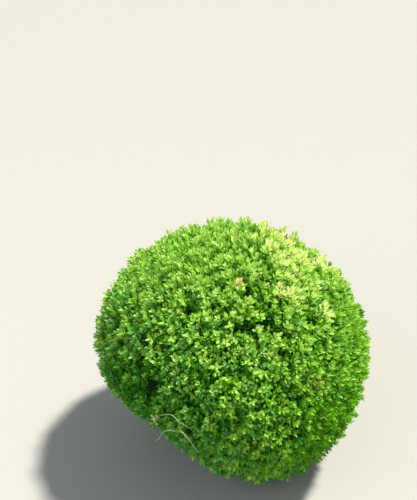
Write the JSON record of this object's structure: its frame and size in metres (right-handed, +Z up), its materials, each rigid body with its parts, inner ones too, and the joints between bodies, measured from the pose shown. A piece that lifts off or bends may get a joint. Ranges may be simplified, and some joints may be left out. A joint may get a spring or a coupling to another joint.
{
  "type": "box topiary ball",
  "caption": "Clipped box ball on a short flared stem, with boughs in a bare hollow inside, a dense ball of leafy shoots and one bare forked bough at its thin lower left.",
  "frame": {"origin": "middle of the flat cut under the main stem, at ground level", "axes": "+Z up, -Z into the ground, -Y towards the front, from where the thin patch with the bare bough is at the lower left, -X to the left"},
  "size_m": [0.6803, 0.6758, 0.6091],
  "materials": {
    "bark": "dull, finely fissured grey-brown bark",
    "grey_twig": "dull, weathered grey-green bark of a bare bough",
    "foliage": "leathery leaves with a soft sheen, fresh green, lighter at the shoot tips"
  },
  "bodies": {
    "root": {"main_stem": "bark", "bough_1": "bark", "bough_2": "bark", "bough_3": "bark", "bough_4": "bark", "bough_5": "bark", "bough_6": "bark", "bough_7": "bark", "bare_bough": "grey_twig", "bare_bough_fork": "grey_twig", "clipped_ball": "foliage"}
  },
  "joints": []
}
